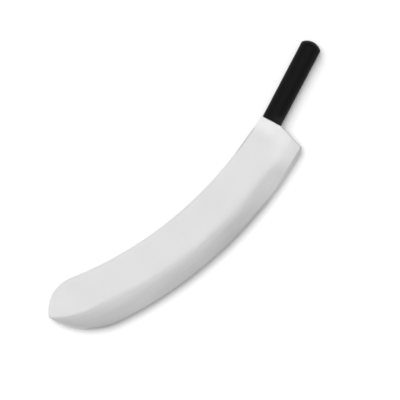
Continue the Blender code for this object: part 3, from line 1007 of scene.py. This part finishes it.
handled = place_group(tree, clouds, Vector=where, Scale=35.0, Low=0.34, High=0.39)["Value"]
tree.links.new(handled, shader.inputs["Roughness"])
grain = add_node(tree, "ShaderNodeTexNoise", Vector=where, Scale=2600.0, Detail=2.0,
                 Roughness=0.6).outputs["Fac"]
pits = add_node(tree, "ShaderNodeBump", Strength=0.25, Distance=0.00006, Height=grain)
tree.links.new(pits.outputs[0], shader.inputs["Normal"])
finish_with(moulded_grip, plastic)

# %% [markdown]
# ## Stage, light and camera
#
# The knife lies on a plain white floor, which shows its shadow. The camera looks straight down and
# is turned, so that the knife runs from the upper right to the lower left of the picture.

# %% Floor
bpy.ops.object.select_all(action="DESELECT")
bpy.ops.mesh.primitive_plane_add(size=20, location=(0, 0, cad_low.z))
floor = bpy.context.object
floor.name = "floor"
bpy.ops.object.transform_apply(location=True)
paper, tree, shader = new_material("white_floor", Roughness=0.9, Specular_IOR_Level=0.0)
shader.inputs["Base Color"].default_value = (0.9, 0.9, 0.9, 1)
finish_with(floor, paper)

# %% Camera
RIGHT = Vector((-0.4653, 0.8851, 0.0))  # the picture's right and its up, in the frame's axes
UP = Vector((-0.8851, -0.4653, 0.0))
VIEW_WIDTH = 0.6074
CAMERA_HEIGHT = 3.0
looked_at = FRONT + Vector((0.1566, -0.04077, 0.0))

camera_data = bpy.data.cameras.new("camera")
camera_data.type = "ORTHO"
camera_data.ortho_scale = VIEW_WIDTH
camera = bpy.data.objects.new("camera", camera_data)
axes = Matrix((RIGHT, UP, Vector((0, 0, 1)))).transposed().to_4x4()
camera.matrix_world = Matrix.Translation(looked_at + Vector((0, 0, CAMERA_HEIGHT))) @ axes
bpy.context.scene.collection.objects.link(camera)
bpy.context.scene.camera = camera
bpy.context.scene.view_settings.view_transform = "Standard"
print("The view is", VIEW_WIDTH, "m wide, round", tuple(round(c, 3) for c in looked_at))

# %% [markdown]
# The room is white at the horizon and dim overhead, and lighter on the edge's side, which shades
# the grip. Steel mirrors what is round it, and in a dim room it would look black from the sides. So
# what a shiny surface mirrors is also a white backdrop, which reaches well above the horizon and
# fades out towards overhead. The camera sees plain white behind the floor.

# %% Room light
# Heights are those of a direction: 0 is level and 1 is straight up.
HORIZON, OVERHEAD = 1.0, 0.3
WALL_TOP = 0.4
BACKDROP = (1.0, 0.6)  # where the backdrop has faded out, and where it is full
SLANT = 0.36  # how much lighter the room is on the edge's side, and darker on the spine's
SLANT_REACH = 0.8  # how far aside a direction has to point for that, from 0 to 1

world = bpy.data.worlds.new("room")
bpy.context.scene.world = world
world.use_nodes = True
tree = world.node_tree
direction = add_node(tree, "ShaderNodeTexCoord").outputs["Generated"]
height = add_node(tree, "ShaderNodeSeparateXYZ", _0=direction).outputs["Z"]
edge_side = (0.61 * RIGHT - 0.79 * UP).normalized()
aside = vector_maths(tree, "DOT_PRODUCT", direction, edge_side)["Value"]
slant = remap(tree, aside, -SLANT_REACH, SLANT_REACH, -SLANT, SLANT)
walls = remap(tree, height, 0.0, WALL_TOP, HORIZON, OVERHEAD, "SMOOTHSTEP")
room = maths(tree, "MAXIMUM", maths(tree, "ADD", walls, slant), 0.0)

rays = add_node(tree, "ShaderNodeLightPath").outputs
mirrored = maths(tree, "MAXIMUM", rays["Is Glossy Ray"], rays["Is Transmission Ray"])
shade = maths(tree, "MINIMUM", maths(tree, "ADD", slant, 1.0), 1.0)
backdrop = product(tree, mirrored, fade(tree, height, *BACKDROP), shade)
backdrop = maths(tree, "MAXIMUM", backdrop, rays["Is Camera Ray"])
background = tree.nodes["Background"].inputs
tree.links.new(maths(tree, "MAXIMUM", room, backdrop), background["Strength"])
background["Color"].default_value = (1, 1, 1, 1)
print("The room has", len(tree.nodes), "nodes")

# %% [markdown]
# Two wide lamps stand on the spine's side, towards the grip, and throw the shadow past the cutting
# edge and the tip. The steel doesn't mirror them. A third one is weak, stands almost overhead, and
# leans over the spine. The flats mirror it, and the bevel, which leans away from it, grows darker
# towards the edge. Each is a sun, because a sun lights the whole knife from one direction, and its
# angle sets how soft the light is.

# %% Soft lamps
def add_lamp(name, energy, aside, tilt, spread, mirrored):
    """A lamp far away, leaning from overhead to one side. A wide spread softens it."""
    data = bpy.data.lights.new(name, "SUN")
    data.energy = energy
    data.angle = math.radians(spread)
    lamp = bpy.data.objects.new(name, data)
    lean = math.radians(tilt)
    towards = math.sin(lean) * aside + math.cos(lean) * Vector((0, 0, 1))
    lamp.rotation_mode = "QUATERNION"
    lamp.rotation_quaternion = towards.to_track_quat("Z", "Y")
    lamp.location = FRONT + towards
    lamp.visible_glossy = mirrored
    bpy.context.scene.collection.objects.link(lamp)
    print(name, "leans", tilt, "degrees")


# Sides of the picture that the lamps lean towards.
above_left = (-0.634 * RIGHT + 0.773 * UP).normalized()
above = (-0.35 * RIGHT + 0.94 * UP).normalized()
add_lamp("side_lamp", energy=2.09, aside=above_left, tilt=45.7, spread=63, mirrored=False)
add_lamp("soft_lamp", energy=1.30, aside=above_left, tilt=20.5, spread=75, mirrored=False)
add_lamp("overhead_lamp", energy=0.2205, aside=above, tilt=8.8, spread=20, mirrored=True)

# %% [markdown]
# ## Hand over
#
# Each finished piece stands for one solid of the frame, which is hidden, and rides on its body.
# Nothing on this knife moves, so there is one body, the root.

# %% Hand the pieces over to the frame
for piece, node, slot in (
    (steel_blade, "blade", "brushed_steel"),
    (moulded_grip, "handle", "black_plastic"),
):
    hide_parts(node)
    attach(piece, "root")
    print(piece.name, "stands for", node)
